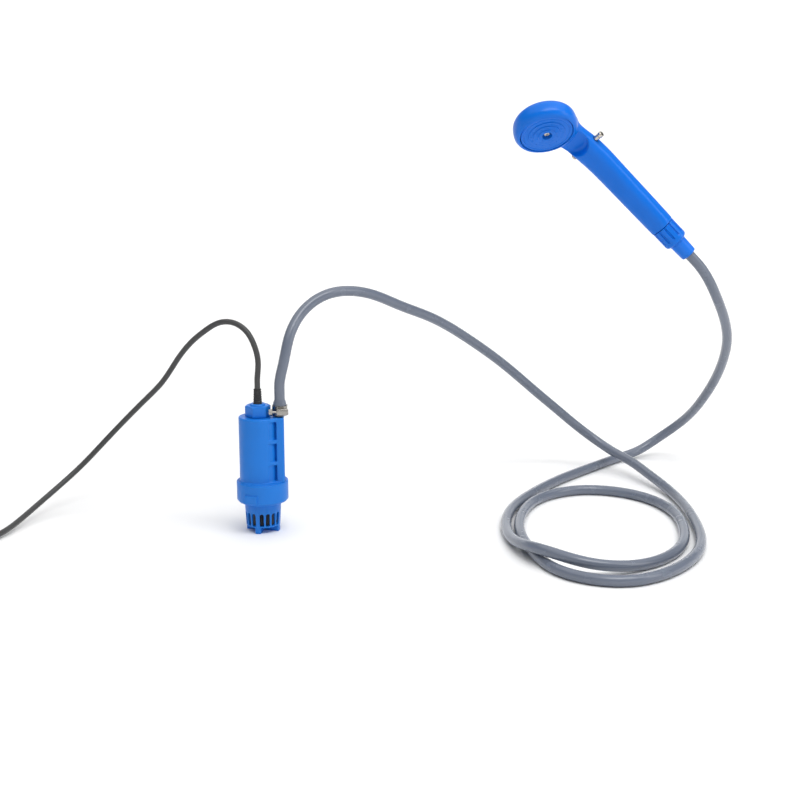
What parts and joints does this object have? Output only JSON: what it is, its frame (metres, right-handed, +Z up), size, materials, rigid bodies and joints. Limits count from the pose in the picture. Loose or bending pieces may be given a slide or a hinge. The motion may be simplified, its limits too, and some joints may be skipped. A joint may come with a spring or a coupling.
{
  "type": "portable camp shower",
  "caption": "Submersible low-voltage pump with a slotted foot, a flexible hose to a handset with a push valve, and a cable ending in a lighter plug.",
  "frame": {"origin": "the middle of the handset's grip, where a hand holds it", "axes": "+Z up from the ground that the pump and the hose's loops stand and lie on, +X to the right in the picture, from the pump to the handset, +Y away from the viewer"},
  "size_m": [0.8495, 0.4445, 0.4013],
  "materials": {
    "bright_blue": "glossy moulded ABS",
    "pump_blue": "satin moulded ABS",
    "grey_hose": "glossy flexible PVC",
    "dark_cable": "satin flexible PVC",
    "black_plastic": "satin",
    "black_rubber": "matte",
    "nickel": "bright nickel plate",
    "steel": "satin stainless steel",
    "magnet": "dull ferrite",
    "lamination": "varnished laminations and windings",
    "copper": "machined copper and bronze",
    "carbon": "dull carbon",
    "white_plastic": "natural nylon",
    "fuse_glass": "clear glass"
  },
  "bodies": {
    "shower": {"brush_left": "carbon", "brush_left_holder": "black_plastic", "brush_right": "carbon", "brush_right_holder": "black_plastic", "cable": "dark_cable", "cable_coil": "dark_cable", "cable_inner_end": "dark_cable", "clamp_band": "steel", "clamp_housing": "steel", "clamp_screw": "steel", "coil_tie": "black_plastic", "front_bearing": "copper", "gland_nut": "pump_blue", "gland_seal": "black_rubber", "handset_shell": "bright_blue", "hose": "grey_hose", "hose_lower_end": "grey_hose", "hose_tail": "bright_blue", "hose_upper_end": "grey_hose", "housing_oring": "black_rubber", "inlet_plate": "pump_blue", "lower_casing": "pump_blue", "magnet_left": "magnet", "magnet_right": "magnet", "motor_can": "steel", "motor_cushion": "black_rubber", "motor_end_cap": "black_plastic", "plate_gasket": "black_rubber", "plate_screw": "nickel", "plug_half_left": "black_plastic", "plug_half_right": "black_plastic", "plug_nose_ring": "nickel", "plug_screw": "steel", "plug_strain_relief": "black_rubber", "pump_housing": "pump_blue", "rear_bearing": "copper", "seal_plate": "black_plastic", "shaft_seal": "black_rubber", "spray_plate": "bright_blue", "tip_spring": "steel", "union_washer": "black_rubber"},
    "spool": {"valve_spool": "nickel", "valve_end_cap": "nickel", "valve_oring_upper": "black_rubber", "valve_oring_lower": "black_rubber"},
    "nut_ring": {"thrust_ring": "white_plastic"},
    "nut": {"union_nut": "bright_blue"},
    "rotor": {"motor_shaft": "steel", "armature": "lamination", "commutator": "copper", "impeller": "white_plastic"},
    "strainer_cup": {"strainer": "pump_blue"},
    "contact_tip": {"plug_tip": "nickel", "plug_fuse": "fuse_glass"},
    "contact_left": {"side_contact_left": "nickel"},
    "contact_right": {"side_contact_right": "nickel"}
  },
  "joints": [
    {"name": "valve_push", "type": "slide", "parent": "shower", "child": "spool", "axis": [-0.5753, 0.5778, -0.5789], "range_m": [0, 0.0045]},
    {"name": "nut_travel", "type": "slide", "parent": "shower", "child": "nut_ring", "axis": [0.7041, -0.0103, -0.71], "range_m": [0, 0.0076]},
    {"name": "nut_turn", "type": "hinge", "parent": "nut_ring", "child": "nut", "pos_m": [0.03021, -0.00044, -0.03046], "axis": [0.7041, -0.0103, -0.71], "range_deg": [0, 1080]},
    {"name": "impeller_spin", "type": "hinge", "parent": "shower", "child": "rotor", "pos_m": [-0.3545, -0.062, -0.25], "axis": [0, 0, 1], "continuous": true},
    {"name": "strainer_twist", "type": "hinge", "parent": "shower", "child": "strainer_cup", "pos_m": [-0.35172, -0.06171, -0.29], "axis": [0, 0, 1], "range_deg": [0, 25]},
    {"name": "tip_press", "type": "slide", "parent": "shower", "child": "contact_tip", "axis": [0, -1, 0], "range_m": [0, 0.0035], "stiffness_N_per_m": 500, "springref_m": -0.003, "deforming": ["tip_spring"]},
    {"name": "left_contact_press", "type": "slide", "parent": "shower", "child": "contact_left", "axis": [1, 0, 0], "range_m": [0, 0.0012], "stiffness_N_per_m": 400, "springref_m": -0.001},
    {"name": "right_contact_press", "type": "slide", "parent": "shower", "child": "contact_right", "axis": [-1, 0, 0], "range_m": [0, 0.0012], "stiffness_N_per_m": 400, "springref_m": -0.001}
  ],
  "couplings": [
    {"joint": "nut_travel", "follows": "nut_turn", "m_per_rad": 0.00039789}
  ]
}
